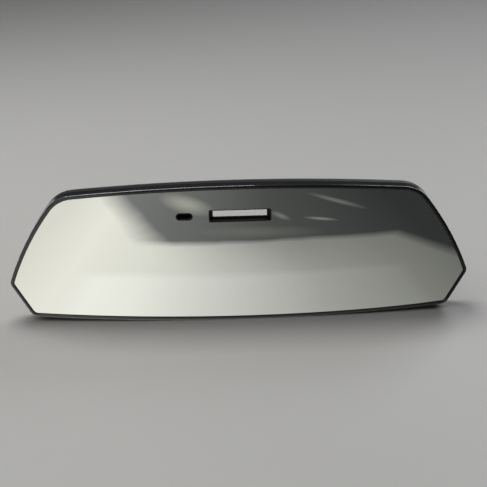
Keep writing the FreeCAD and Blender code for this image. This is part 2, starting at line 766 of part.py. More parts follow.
def lower_hook(side):
    """The fixed hook under the host mirror: leg, shelf and lip bent from one strip."""
    body = new_body(tagged("hook", side))
    profile = [("leg_seat", "0"), ("hook_back", "0"), ("hook_back", "hook_lip_height"),
               ("hook_back - hook_lip_thickness", "hook_lip_height"),
               ("hook_back - hook_lip_thickness", "shelf_thickness"), ("rail_back", "shelf_thickness"),
               ("rail_back", "leg_top"), ("leg_seat", "leg_top")]
    add_run(body, "hook_strip", "-arm_half_width", "arm_half_width", lambda sketch: polygon(sketch, profile))
    round_edges(body, "hook_bends", "bend_round",
                lambda edge: runs_along(edge, 0) and edge.CenterOfMass.z < 0.01)
    round_edges(body, "hook_ends", "strip_edge_round",
                lambda edge: runs_along(edge, 0) and (
                    abs(edge.CenterOfMass.z - DIMENSIONS["hook_lip_height"]) < 0.01
                    or abs(edge.CenterOfMass.z - DIMENSIONS["leg_top"]) < 0.01))
    cut_slab(body, "hook_holes", "leg_seat - 1", "rail_back", circles(hook_screw_spots(), "hook_screw_clearance"))
    finish(body, tagged("lower_hook", side), side)


def lower_hook_sleeve(side):
    """The rubber sleeve over the hook's shelf and lip."""
    lip_front, lip_back = "hook_back - hook_lip_thickness - rubber", "hook_back + rubber"
    profile = [("sleeve_front", "sleeve_underside"), (lip_back, "sleeve_underside"),
               (lip_back, "hook_lip_height + rubber"), (lip_front, "hook_lip_height + rubber"),
               (lip_front, "shelf_thickness + rubber"), ("sleeve_front", "shelf_thickness + rubber")]
    hollow = [("sleeve_front - 1", "-1"), ("hook_back", "-1"), ("hook_back", "hook_lip_height"),
              ("hook_back - hook_lip_thickness", "hook_lip_height"),
              ("hook_back - hook_lip_thickness", "shelf_thickness"), ("sleeve_front - 1", "shelf_thickness")]
    body = new_body(tagged("hook_rubber", side))
    add_run(body, "sleeve_block", "-arm_half_width - rubber", "arm_half_width + rubber",
            lambda sketch: polygon(sketch, profile))
    round_edges(body, "sleeve_edges", "rubber * 0.75",
                lambda edge: runs_along(edge, 0) and edge.CenterOfMass.z > DIMENSIONS["hook_lip_height"])
    cut_run(body, "sleeve_hollow", "-arm_half_width", "arm_half_width", lambda sketch: polygon(sketch, hollow))
    finish(body, tagged("lower_hook_sleeve", side), side)


def spring_anchor_pin(side):
    """The cross pin in the rail that the return spring's lower loop hooks on."""
    pin = rod_across(tagged("anchor", side), "-anchor_half_length", "anchor_half_length", "0", "0", "anchor_radius")
    finish(pin_at(pin, "spring_depth", "anchor_height", "-anchor_half_length", side),
           tagged("spring_anchor_pin", side), side)


def pin_at(pin, depth, height, left, side):
    """Wraps a pin in a one-item compound so that its own place stays free for the row's frame."""
    put(pin, left, depth, height)
    return group(f"{pin.Name}_held", [pin])


def return_spring(side):
    """The extension spring between anchor pin and slider post, as the tube that its coils fill."""
    bottom, top = "anchor_height + anchor_radius + 0.2", "post_height - post_radius - 0.2"
    coil = cut(tagged("spring_tube", side), rod_up(tagged("spring_outer", side), "spring_depth", bottom, top,
                                                   "spring_radius"),
               rod_up(tagged("spring_inner", side), "spring_depth", bottom, top, "spring_bore"))
    finish(coil, tagged("return_spring", side), side)


# ---------------------------------------------------------------- sliding arm and claw

def upper_slider(side):
    """The sliding arm: strap in the rail, arm over the host mirror and two ears for the claw's pin."""
    body = new_body(tagged("slider", side))
    profile = [("strap_front", "strap_bottom"), ("strap_back", "strap_bottom"), ("strap_back", "arm_underside"),
               ("arm_end", "arm_underside"), ("arm_end", "arm_underside + shelf_thickness"),
               ("strap_front", "arm_underside + shelf_thickness")]
    add_run(body, "slider_strip", "-arm_half_width", "arm_half_width", lambda sketch: polygon(sketch, profile))
    heel = value_of("arm_underside + shelf_thickness")
    round_edges(body, "heel", "arm_heel_round",
                lambda edge: runs_along(edge, 0) and abs(edge.CenterOfMass.z - heel) < 0.01
                and abs(edge.CenterOfMass.y - DIMENSIONS["strap_front"]) < 0.01)
    for name, left in (("near", "-arm_half_width"), ("far", "arm_half_width - ear_thickness")):
        right = f"{left} + ear_thickness"
        add_run(body, f"{name}_ear_web", left, right, lambda sketch: polygon(
            sketch, rectangle("arm_end - 1", "pivot_depth", "arm_underside", "arm_underside + shelf_thickness")))
        add_run(body, f"{name}_ear_eye", left, right, lambda sketch: circle(
            sketch, "pivot_depth", "pivot_height", "ear_radius"))
    cut_run(body, "ear_bores", "-arm_half_width - 1", "arm_half_width + 1",
            lambda sketch: circle(sketch, "pivot_depth", "pivot_height", "pin_radius"))
    cut_slab(body, "post_bore", "strap_front - 1", "strap_back",
             lambda sketch: circle(sketch, "0", "post_height", "post_radius"))
    finish(body, tagged("upper_slider", side), side)


def slider_spring_post(side):
    """The pin on the strap that the return spring's upper loop hooks on."""
    pin = rod_back(tagged("post", side), "0", "post_height", "post_front", "strap_back", "post_radius")
    finish(group(tagged("post_held", side), [pin]), tagged("slider_spring_post", side), side)


def upper_hook_sleeve(side):
    """The rubber tube over the sliding arm."""
    outer = box(tagged("arm_rubber_outer", side), "-arm_half_width - rubber", "arm_half_width + rubber",
                "sleeve_front", "arm_sleeve_end", "arm_underside - rubber",
                "arm_underside + shelf_thickness + rubber")
    soft = edge_round(tagged("arm_rubber_soft", side), outer,
                      lambda edge: DIMENSIONS["rubber"] * 0.75 if runs_along(edge, 1) else 0)
    inner = box(tagged("arm_rubber_inner", side), "-arm_half_width", "arm_half_width", "sleeve_front - 1",
                "arm_sleeve_end + 1", "arm_underside", "arm_underside + shelf_thickness")
    finish(cut(tagged("arm_rubber", side), soft, inner), tagged("upper_hook_sleeve", side), side)


def claw_pin(side):
    """The headed pin that the claw swings on."""
    shank = rod_across(tagged("pin_shank", side), "-arm_half_width", "arm_half_width", "pivot_depth",
                       "pivot_height", "pin_radius")
    heads = [rod_across(tagged(f"pin_head_{number}", side), left, f"{left} + pin_head_height", "pivot_depth",
                        "pivot_height", "pin_head_radius")
             for number, left in enumerate(("arm_half_width", "-arm_half_width - pin_head_height"))]
    finish(fuse(tagged("pin_fused", side), [shank] + heads), tagged("claw_pin", side), side)


def claw_spring(side):
    """The torsion spring beside the claw's knuckle, as the ring that its coils fill and its long leg."""
    coil = rod_across(tagged("coil_outer", side), "-coil_left", "-coil_right", "pivot_depth", "pivot_height",
                      "coil_radius")
    leg = box(tagged("coil_leg", side), "-coil_left", "-coil_left + coil_wire", "coil_leg_front", "pivot_depth",
              "arm_underside + shelf_thickness", "pivot_height + coil_radius")
    bore = rod_across(tagged("coil_inner", side), "-coil_left - 1", "-coil_right + 1", "pivot_depth",
                      "pivot_height", "coil_bore")
    finish(cut(tagged("coil", side), fuse(tagged("coil_and_leg", side), [coil, leg]), bore),
           tagged("claw_spring", side), side)


def upper_claw(side):
    """The claw: a knuckle on the pin and a blade that hangs behind the host mirror."""
    body = new_body(tagged("claw", side))
    front, back = "pivot_depth - blade_half_thickness", "pivot_depth + blade_half_thickness"
    add_slab(body, "blade", front, back, lambda sketch: polygon(
        sketch, rectangle("-arm_half_width", "arm_half_width", "blade_bottom", "blade_top")))
    round_edges(body, "blade_corners", "blade_end_round",
                lambda edge: runs_along(edge, 1) and edge.CenterOfMass.z < DIMENSIONS["blade_bottom"] + 1)
    add_slab(body, "neck", front, back, lambda sketch: polygon(
        sketch, rectangle("-knuckle_left", "knuckle_right", "blade_top - 1", "pivot_height")))
    add_run(body, "knuckle", "-knuckle_left", "knuckle_right",
            lambda sketch: circle(sketch, "pivot_depth", "pivot_height", "knuckle_radius"))
    cut_run(body, "knuckle_bore", "-knuckle_left - 1", "knuckle_right + 1",
            lambda sketch: circle(sketch, "pivot_depth", "pivot_height", "claw_bore_radius"))
    finish(body, tagged("upper_claw", side), side)


def claw_grip(side):
    """The rubber cap over the claw's blade."""
    front, back = "pivot_depth - blade_half_thickness", "pivot_depth + blade_half_thickness"
    outer = box(tagged("grip_outer", side), "-arm_half_width - rubber", "arm_half_width + rubber",
                f"{front} - rubber", f"{back} + rubber", "blade_bottom - rubber", "grip_top")
    soft = edge_round(tagged("grip_soft", side), outer,
                      lambda edge: DIMENSIONS["rubber"] * 0.75 if runs_along(edge, 2) else 0)
    inner = box(tagged("grip_inner", side), "-arm_half_width", "arm_half_width", front, back, "blade_bottom",
                "grip_top + 1")
    finish(cut(tagged("grip", side), soft, inner), tagged("claw_grip", side), side)


CLIP_PIECES = (clip_rail, rail_cover, rail_screws, hook_screws, host_pads, lower_hook, lower_hook_sleeve,
               spring_anchor_pin, return_spring, upper_slider, slider_spring_post, upper_hook_sleeve, claw_pin,
               claw_spring, upper_claw, claw_grip)


def check_and_write():
    """Stops on any failed object or bad shape, then writes one STEP file per piece."""
    doc.recompute()
    failed = [item.Name for item in doc.Objects if {"Invalid", "Error"} & set(item.State)]
    failed += [item.Label for item in finished if item.Shape.isNull() or not item.Shape.isValid()]
    if failed:
        raise RuntimeError(f"failed objects: {failed}")
    os.makedirs("parts", exist_ok=True)
    for item in finished:
        item.Shape.exportStep(f"parts/{item.Label}.step")
        span = item.Shape.BoundBox
        print(f"{item.Label}: {len(item.Shape.Solids)} solids, {item.Shape.Volume:.0f} mm3, "
              f"x {span.XMin:.1f}..{span.XMax:.1f} y {span.YMin:.1f}..{span.YMax:.1f} "
              f"z {span.ZMin:.1f}..{span.ZMax:.1f}")


make_sheet()
shell_outline = draw_outline()
rear_shell(shell_outline)
mirror_glass(shell_outline)
glass_bonding_sheet(shell_outline)
display_window_frame()
sensor_shroud()
for clip_side in (LEFT, RIGHT):
    for make_piece in CLIP_PIECES:
        make_piece(clip_side)
check_and_write()
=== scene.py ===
"""Looks of a clip-on interior rearview mirror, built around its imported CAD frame.

The glass front is rebuilt as a dense, exact spherical face.  Springs are wound from wire, the strip and
moulded pieces get softened edges, the rubber gets grip ribs, and every surface has a procedural finish.
All lengths are in metres, in the CAD's own frame: +X along the mirror, -Y out of the glass, +Z up.
"""
from __future__ import annotations

import logging
import math
from dataclasses import dataclass, field
from enum import Enum
from typing import Iterable, Optional, Sequence, Union

import bmesh
import bpy
from mathutils import Matrix, Vector
from mathutils.geometry import delaunay_2d_cdt


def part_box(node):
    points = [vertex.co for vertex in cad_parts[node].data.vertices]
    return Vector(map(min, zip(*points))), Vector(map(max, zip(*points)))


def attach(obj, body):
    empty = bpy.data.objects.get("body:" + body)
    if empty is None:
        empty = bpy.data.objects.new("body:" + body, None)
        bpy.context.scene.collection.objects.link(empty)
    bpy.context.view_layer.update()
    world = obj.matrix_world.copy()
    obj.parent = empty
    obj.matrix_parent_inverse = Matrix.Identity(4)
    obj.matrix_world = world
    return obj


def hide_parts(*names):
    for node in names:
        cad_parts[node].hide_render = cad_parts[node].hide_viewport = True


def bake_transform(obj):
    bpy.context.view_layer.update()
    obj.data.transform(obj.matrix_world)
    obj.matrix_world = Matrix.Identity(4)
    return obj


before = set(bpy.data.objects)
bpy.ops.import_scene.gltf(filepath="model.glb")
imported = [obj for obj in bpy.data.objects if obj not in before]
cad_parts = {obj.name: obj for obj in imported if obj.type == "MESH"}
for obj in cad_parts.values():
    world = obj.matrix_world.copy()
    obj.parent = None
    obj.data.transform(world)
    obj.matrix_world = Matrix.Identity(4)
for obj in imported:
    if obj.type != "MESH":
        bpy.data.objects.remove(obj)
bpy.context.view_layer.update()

LOG = logging.getLogger("clip_on_mirror")
MM = 0.001
# The shell's front edge and the glass lie on spheres about one centre.  Here are the radius, crown and height
# of the edge's sphere, and how far the glass stands behind it.
FACE_RADIUS = 1400 * MM
FACE_CROWN = -24.7 * MM
FACE_CENTRE_HEIGHT = 42.1 * MM
GLASS_DEPTH = 0.4 * MM
Colour = tuple[float, float, float]
Point = tuple[float, float, float]


class Side(Enum):
    """The two clips, by the sign of X."""

    LEFT = -1
    RIGHT = 1

    @property
    def word(self) -> str:
        """The side as it stands in node and body names."""
        return self.name.lower()


# ---------------------------------------------------------------- shader arithmetic


class Wire:
    """One output socket that takes part in arithmetic on plain values.

    Args:
        graph: The graph that new Math nodes are added to.
        socket: The output socket that carries the value.
    """

    def __init__(self, graph: "Graph", socket: bpy.types.NodeSocket) -> None:
        """Keeps the graph and the socket."""
        self.graph = graph
        self.socket = socket

    def math(self, operation: str, first: "Value", second: "Value" = 0.0, clamp: bool = False) -> "Wire":
        """Adds one Math node.

        Args:
            operation: The Math node's operation.
            first: Its first value.
            second: Its second value.
            clamp: Whether the result is kept between 0 and 1.

        Returns:
            The node's result.
        """
        made = self.graph.node("ShaderNodeMath", {"operation": operation, "use_clamp": clamp},
                               {0: first, 1: second})
        return Wire(self.graph, made.outputs[0])

    def __add__(self, other: "Value") -> "Wire":
        """The sum."""
        return self.math("ADD", self, other)

    __radd__ = __add__

    def __sub__(self, other: "Value") -> "Wire":
        """This less the other."""
        return self.math("SUBTRACT", self, other)

    def __rsub__(self, other: "Value") -> "Wire":
        """The other less this."""
        return self.math("SUBTRACT", other, self)

    def __mul__(self, other: "Value") -> "Wire":
        """The product."""
        return self.math("MULTIPLY", self, other)

    __rmul__ = __mul__

    def above(self, edge: float, soft: float) -> "Wire":
        """A mask that rises from 0 to 1 around an edge.

        Args:
            edge: The value at the middle of the rise.
            soft: The width of the rise; a negative width makes it a fall.

        Returns:
            The mask.
        """
        return self.math("MULTIPLY_ADD", self, 1.0 / soft, clamp=True).lifted(0.5 - edge / soft)

    def root(self) -> "Wire":
        """The square root."""
        return self.math("SQRT", self)

    def lifted(self, offset: float) -> "Wire":
        """Sets the addend of a multiply-add node that made this wire."""
        self.socket.node.inputs[2].default_value = offset
        return self


Value = Union[Wire, float]


class Graph:
    """A material's node graph around one Principled shader.

    Args:
        name: The material's name.
    """

    def __init__(self, name: str) -> None:
        """Makes the material with its shader and output."""
        self.material = bpy.data.materials.new(name)
        self.material.use_nodes = True
        self.tree = self.material.node_tree
        self.tree.nodes.clear()
        self.shader = self.node("ShaderNodeBsdfPrincipled")
        self.node("ShaderNodeOutputMaterial", {}, {"Surface": self.shader.outputs[0]})
        self.place = self.node("ShaderNodeTexCoord").outputs

    def node(self, kind: str, settings: Optional[dict] = None,
             inputs: Optional[dict] = None) -> bpy.types.Node:
        """Adds a node, sets it up and feeds its sockets.

        Args:
            kind: The node's type.
            settings: Its properties, and "stops" for a colour ramp.
            inputs: Values, wires or sockets by input name or number.

        Returns:
            The node.
        """
        made = self.tree.nodes.new(kind)
        for key, value in (settings or {}).items():
            if key == "stops":
                self.set_stops(made.color_ramp, value)
            else:
                setattr(made, key, value)
        for key, value in (inputs or {}).items():
            self.feed(made.inputs[key], value)
        return made

    @staticmethod
    def set_stops(ramp: bpy.types.ColorRamp, stops: Sequence[tuple[float, Colour]]) -> None:
        """Gives a colour ramp its stops."""
        while len(ramp.elements) < len(stops):
            ramp.elements.new(1.0)
        for element, (at, colour) in zip(ramp.elements, stops):
            element.position = at
            element.color = (*colour, 1.0)

    def feed(self, socket: bpy.types.NodeSocket, value: object) -> None:
        """Links a wire or a socket, or sets a plain value."""
        if isinstance(value, Wire):
            self.tree.links.new(value.socket, socket)
        elif isinstance(value, bpy.types.NodeSocket):
            self.tree.links.new(value, socket)
        elif isinstance(value, tuple) and len(value) == 3 and socket.type == "RGBA":
            socket.default_value = (*value, 1.0)
        else:
            socket.default_value = value

    def set(self, **inputs: object) -> None:
        """Feeds the Principled shader, with underscores for spaces in the socket names."""
        for name, value in inputs.items():
            self.feed(self.shader.inputs[name.replace("_", " ")], value)

    def stretched(self, scale: Point) -> bpy.types.NodeSocket:
        """The object's own coordinates, scaled by an amount along each axis."""
        return self.node("ShaderNodeVectorMath", {"operation": "MULTIPLY"},
                         {0: self.place["Object"], 1: scale}).outputs[0]

    def noise(self, size: float, detail: float = 2.0, roughness: float = 0.5,
              stretch: Point = (1.0, 1.0, 1.0)) -> Wire:
        """Noise with a typical blotch size.

        Args:
            size: The blotch size in metres.
            detail: How many finer layers are added.
            roughness: How strong the finer layers are.
            stretch: The frequency along each axis, relative to the size.

        Returns:
            The noise, from 0 to 1.
        """
        made = self.node("ShaderNodeTexNoise", {},
                         {"Vector": self.stretched(stretch), "Scale": 1.0 / size, "Detail": detail,
                          "Roughness": roughness})
        return Wire(self, made.outputs["Fac"])

    def specks(self, spacing: float, share: float) -> Wire:
        """A mask of scattered round specks.

        Args:
            spacing: The distance between specks in metres.
            share: The speck's radius as a share of the spacing.

        Returns:
            The mask, 1 inside a speck.
        """
        made = self.node("ShaderNodeTexVoronoi", {"feature": "F1"},
                         {"Vector": self.place["Object"], "Scale": 1.0 / spacing})
        return Wire(self, made.outputs["Distance"]).above(share, -share * 0.5)

    def blend(self, factor: Value, first: object, second: object) -> bpy.types.NodeSocket:
        """A colour between two colours, by a factor."""
        made = self.node("ShaderNodeMix", {"data_type": "RGBA"}, {"Factor": factor, "A": first, "B": second})
        return made.outputs["Result"]

    def bump(self, height: Wire, depth: float, strength: float = 1.0) -> bpy.types.NodeSocket:
        """A normal from a height.

        Args:
            height: The height, from 0 to 1.
            depth: How far 1 stands above 0, in metres.
            strength: How much of the bump is used.

        Returns:
            The normal socket.
        """
        made = self.node("ShaderNodeBump", {}, {"Height": height, "Distance": depth, "Strength": strength})
        return made.outputs["Normal"]

    def facing(self, axis: int) -> Wire:
        """One component of the surface's normal in the object's own axes."""
        split = self.node("ShaderNodeSeparateXYZ", {}, {0: self.place["Normal"]})
        return Wire(self, split.outputs[axis])

    def position(self) -> tuple[Wire, Wire, Wire]:
        """The three object coordinates."""
        split = self.node("ShaderNodeSeparateXYZ", {}, {0: self.place["Object"]})
        return Wire(self, split.outputs[0]), Wire(self, split.outputs[1]), Wire(self, split.outputs[2])


# ---------------------------------------------------------------- finishes


@dataclass(frozen=True)
class SilveredGlass:
    """The silvered, convex face: clean, with faint wipe marks and a few dust specks."""

    tint: Colour = (0.90, 0.905, 0.885)
    polish: float = 0.012
    wipe_size: float = 28 * MM
    wipe_roughness: float = 0.035
    dust_spacing: float = 7 * MM
    dust_share: float = 0.022

    def material(self) -> bpy.types.Material:
        """Builds the material."""
        graph = Graph("silvered_glass")
        wipes = graph.noise(self.wipe_size, 5.0, 0.6, (1.0, 1.0, 2.6)).above(0.62, 0.25)
        dust = graph.specks(self.dust_spacing, self.dust_share)
        graph.set(Base_Color=graph.blend(dust * 0.6, self.tint, (0.55, 0.54, 0.5)), Metallic=1.0,
                  Roughness=wipes * self.wipe_roughness + dust * 0.35 + self.polish)
        return graph.material


@dataclass(frozen=True)
class GroundEdge:
    """The ground and polished bevel of the glass, a little frosted along its edge."""

    tint: Colour = (0.80, 0.84, 0.82)
    frost: float = 0.16

    def material(self) -> bpy.types.Material:
        """Builds the material."""
        graph = Graph("ground_glass_edge")
        grind = graph.noise(0.35 * MM, 3.0, 0.6, (0.15, 1.0, 1.0))
        graph.set(Base_Color=graph.blend(grind * 0.4, self.tint, (0.55, 0.60, 0.58)), Metallic=0.9,
                  Roughness=grind * self.frost + 0.08, Normal=graph.bump(grind, 0.01 * MM, 0.4))
        return graph.material


@dataclass(frozen=True)
class ShellPlastic:
    """Black moulded shell: polished around the glass, satin on the rear of the rim, spark-eroded behind.

    Args:
        colour: The plastic's colour.
        dust: The colour of the dust that settles on its upper side, also used for a painted sheen along the
            top of the satin rim.
        front_roughness: The roughness of the polished front.
        satin_roughness: The roughness of the rim's rear half.
        back_roughness: The roughness of the textured back.
        satin_from: How far behind the glass's face the satin starts.
        fine_grain: The grain size of the satin.
        back_grain: The grain size of the back.
    """

    colour: Colour = (0.0045, 0.0049, 0.0056)
    dust: Colour = (0.034, 0.034, 0.032)
    front_roughness: float = 0.13
    satin_roughness: float = 0.42
    back_roughness: float = 0.55
    satin_from: float = 7.2 * MM
    fine_grain: float = 0.28 * MM
    back_grain: float = 0.55 * MM

    def material(self) -> bpy.types.Material:
        """Builds the material."""
        graph = Graph("shell_plastic")
        across, depth, height = graph.position()
        rise = height - FACE_CENTRE_HEIGHT
        behind = depth - FACE_CROWN - (across * across + rise * rise) * (0.5 / FACE_RADIUS)
        satin = behind.above(self.satin_from, 0.35 * MM)
        back = graph.facing(1).above(0.35, 0.3)
        top = graph.facing(2).above(0.75, 0.4)
        fine = graph.noise(self.fine_grain, 2.0, 0.55)
        coarse = graph.noise(self.back_grain, 3.0, 0.6)
        lint = graph.noise(14 * MM, 5.0, 0.7).above(0.63, 0.2) * top
        rubbed = graph.noise(6 * MM, 6.0, 0.65, (0.25, 1.0, 1.0)).above(0.6, 0.25)
        grain = fine * satin * (1.0 - back) + coarse * back
        # Dust patches on the upper side, a painted sheen that evenly lightens the top of the satin rim, and a
        # slightly greyer back.
        dust_and_painted_sheen = lint * 0.3 + satin * top * 0.08 + back * 0.1
        graph.set(Base_Color=graph.blend(dust_and_painted_sheen, self.colour, self.dust),
                  Roughness=satin * (self.satin_roughness - self.front_roughness) + self.front_roughness
                  + back * (self.back_roughness - self.satin_roughness) + rubbed * 0.05,
                  Coat_Weight=(1.0 - satin) * 0.8, Coat_Roughness=0.06, Specular_IOR_Level=0.40,
                  Normal=graph.bump(grain, 0.022 * MM, 0.6))
        return graph.material


@dataclass(frozen=True)
class MouldedPlastic:
    """Dark moulded plastic with a fine matte grain.

    Args:
        name: The material's name.
        colour: The plastic's colour.
        roughness: How matte it is.
        grain: The grain size in metres.
    """

    name: str
    colour: Colour
    roughness: float = 0.5
    grain: float = 0.4 * MM

    def material(self) -> bpy.types.Material:
        """Builds the material."""
        graph = Graph(self.name)
        grain = graph.noise(self.grain, 3.0, 0.6)
        flow = graph.noise(11 * MM, 4.0, 0.6, (0.4, 1.0, 1.0))
        lighter = tuple(part * 1.9 + 0.006 for part in self.colour)
        graph.set(Base_Color=graph.blend(flow * 0.45, self.colour, lighter),
                  Roughness=flow * 0.14 + (self.roughness - 0.07), Normal=graph.bump(grain, 0.03 * MM, 0.6))
        return graph.material


@dataclass(frozen=True)
class PlatedSteel:
    """Zinc-plated steel: brushed along one axis, with faint clouding and darker handling marks.

    Args:
        name: The material's name.
        colour: The plating's colour.
        roughness: How dull it is.
        stretch: Noise frequency along each axis; the brushing runs along the smallest.
    """

    name: str
    colour: Colour = (0.60, 0.605, 0.60)
    roughness: float = 0.30
    stretch: Point = (1.0, 1.0, 0.04)

    def material(self) -> bpy.types.Material:
        """Builds the material."""
        graph = Graph(self.name)
        brushed = graph.noise(0.22 * MM, 2.0, 0.5, self.stretch)
        cloud = graph.noise(7 * MM, 4.0, 0.6)
        marks = graph.noise(2.4 * MM, 5.0, 0.7).above(0.66, 0.12)
        darker = tuple(part * 0.62 for part in self.colour)
        graph.set(Base_Color=graph.blend(cloud * 0.35 + marks * 0.45, self.colour, darker), Metallic=1.0,
                  Roughness=brushed * 0.16 + cloud * 0.10 + (self.roughness - 0.1),
                  Normal=graph.bump(brushed, 0.006 * MM, 0.5))
        return graph.material


@dataclass(frozen=True)
class SoftRubber:
    """Matte black rubber with a dry, slightly greyed skin."""

    colour: Colour = (0.022, 0.022, 0.023)
    bloom: Colour = (0.070, 0.069, 0.066)

    def material(self) -> bpy.types.Material:
        """Builds the material."""
        graph = Graph("soft_rubber")
        skin = graph.noise(0.5 * MM, 4.0, 0.65)
        bloom = graph.noise(9 * MM, 5.0, 0.65).above(0.55, 0.4)
        graph.set(Base_Color=graph.blend(bloom * 0.5, self.colour, self.bloom), Roughness=skin * 0.2 + 0.62,
                  Specular_IOR_Level=0.35, Normal=graph.bump(skin, 0.04 * MM, 0.5))
        return graph.material


@dataclass(frozen=True)
class CellFoam:
    """Closed-cell foam: dark, with open cells on its cut faces, their hollows darkened with painted shade."""

    colour: Colour = (0.028, 0.028, 0.030)
    hollow: Colour = (0.014, 0.014, 0.015)
    cell: float = 0.55 * MM

    def material(self) -> bpy.types.Material:
        """Builds the material."""
        graph = Graph("cell_foam")
        cells = graph.node("ShaderNodeTexVoronoi", {"feature": "SMOOTH_F1"},
                           {"Vector": graph.place["Object"], "Scale": 1.0 / self.cell})
        depth = Wire(graph, cells.outputs["Distance"])
        lighter = tuple(3 * part for part in self.colour)
        # Painted shade: each cell is darkest in its hollow middle and lighter towards its walls.
        graph.set(Base_Color=graph.blend(depth, self.hollow, lighter),
                  Roughness=0.92, Specular_IOR_Level=0.2, Normal=graph.bump(depth, 0.16 * MM, 0.8))
        return graph.material


# ---------------------------------------------------------------- mesh tools


class Piece:
    """Makes mesh objects and hangs them on CAD bodies.

    WELD_REACH is how near two vertices are welded, in metres.  FLAT_TURN and HARD_TURN are the turns, in
    degrees, under which faces count as one and over which an edge is rolled over.
    """

    WELD_REACH = 2e-6
    FLAT_TURN = 0.6
    HARD_TURN = 38.0
    ROLL_PROFILE = 0.6

    @staticmethod
    def from_bmesh(name: str, mesh: bmesh.types.BMesh, material: bpy.types.Material,
                   sharp_from: float = 32.0) -> bpy.types.Object:
        """Turns a bmesh into a smooth-shaded object.

        Args:
            name: The object's name.
            mesh: The bmesh, which is freed.
            material: Its material.
            sharp_from: Edges that turn by more than this many degrees stay sharp.

        Returns:
            The object.
        """
        data = bpy.data.meshes.new(name)
        mesh.to_mesh(data)
        mesh.free()
        data.polygons.foreach_set("use_smooth", [True] * len(data.polygons))
        data.set_sharp_from_angle(angle=math.radians(sharp_from))
        if not data.materials:
            data.materials.append(material)
        made = bpy.data.objects.new(name, data)
        bpy.context.scene.collection.objects.link(made)
        return made

    @staticmethod
    def attach(piece: bpy.types.Object, body: str, slot: str, *nodes: str) -> bpy.types.Object:
        """Rides a piece on a body and hides the nodes it stands for."""
        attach(piece, body)
        if nodes:
            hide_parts(*nodes)
        LOG.info("%s rides on %s", piece.name, body)
        return piece

    @staticmethod
    def welded(node: str) -> bmesh.types.BMesh:
        """A CAD node's mesh as a bmesh, welded along its faces' seams."""
        mesh = bmesh.new()
        mesh.from_mesh(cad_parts[node].data)
        bmesh.ops.remove_doubles(mesh, verts=mesh.verts, dist=Piece.WELD_REACH)
        return mesh

    @classmethod
    def softened(cls, node: str, material: bpy.types.Material, width: float) -> bpy.types.Object:
        """A copy of a CAD node with its hard edges rolled over.

        Args:
            node: The CAD node.
            material: The copy's material.
            width: The width of the rolled edges in metres.

        Returns:
            The new object.
        """
        mesh = cls.welded(node)
        bmesh.ops.dissolve_limit(mesh, angle_limit=math.radians(cls.FLAT_TURN), verts=mesh.verts,
                                 edges=mesh.edges)
        hard = [edge for edge in mesh.edges if len(edge.link_faces) == 2
                and edge.calc_face_angle(0.0) > math.radians(cls.HARD_TURN)]
        bmesh.ops.bevel(mesh, geom=hard, offset=width, segments=2, profile=cls.ROLL_PROFILE,
                        affect="EDGES", clamp_overlap=True)
        bmesh.ops.recalc_face_normals(mesh, faces=mesh.faces)
        made = cls.from_bmesh(f"{node}_body", mesh, material)
        modifier = made.modifiers.new("even_normals", "WEIGHTED_NORMAL")
        modifier.keep_sharp = True
        return made

    @staticmethod
    def tube(mesh: bmesh.types.BMesh, path: Sequence[Vector], radius: float, around: int = 8) -> None:
        """Adds a capped round tube along a path.

        Args:
            mesh: The bmesh that takes the tube.
            path: The centre line.
            radius: The tube's radius in metres.
            around: Vertices around it.
        """
        along = (path[1] - path[0]).normalized()
        side = along.orthogonal().normalized()
        rings = []
        for number, point in enumerate(path):
            after = path[min(number + 1, len(path) - 1)]
            before = path[max(number - 1, 0)]
            turned = (after - before).normalized()
            side = (along.rotation_difference(turned) @ side).normalized()
            along = turned
            other = along.cross(side)
            rings.append([mesh.verts.new(point + radius * (math.cos(angle) * side + math.sin(angle) * other))
                          for angle in (math.tau * step / around for step in range(around))])
        for low, high in zip(rings, rings[1:]):
            for step in range(around):
                after = (step + 1) % around
                mesh.faces.new((low[step], low[after], high[after], high[step]))
        mesh.faces.new(reversed(rings[0]))
        mesh.faces.new(rings[-1])


# ---------------------------------------------------------------- glass


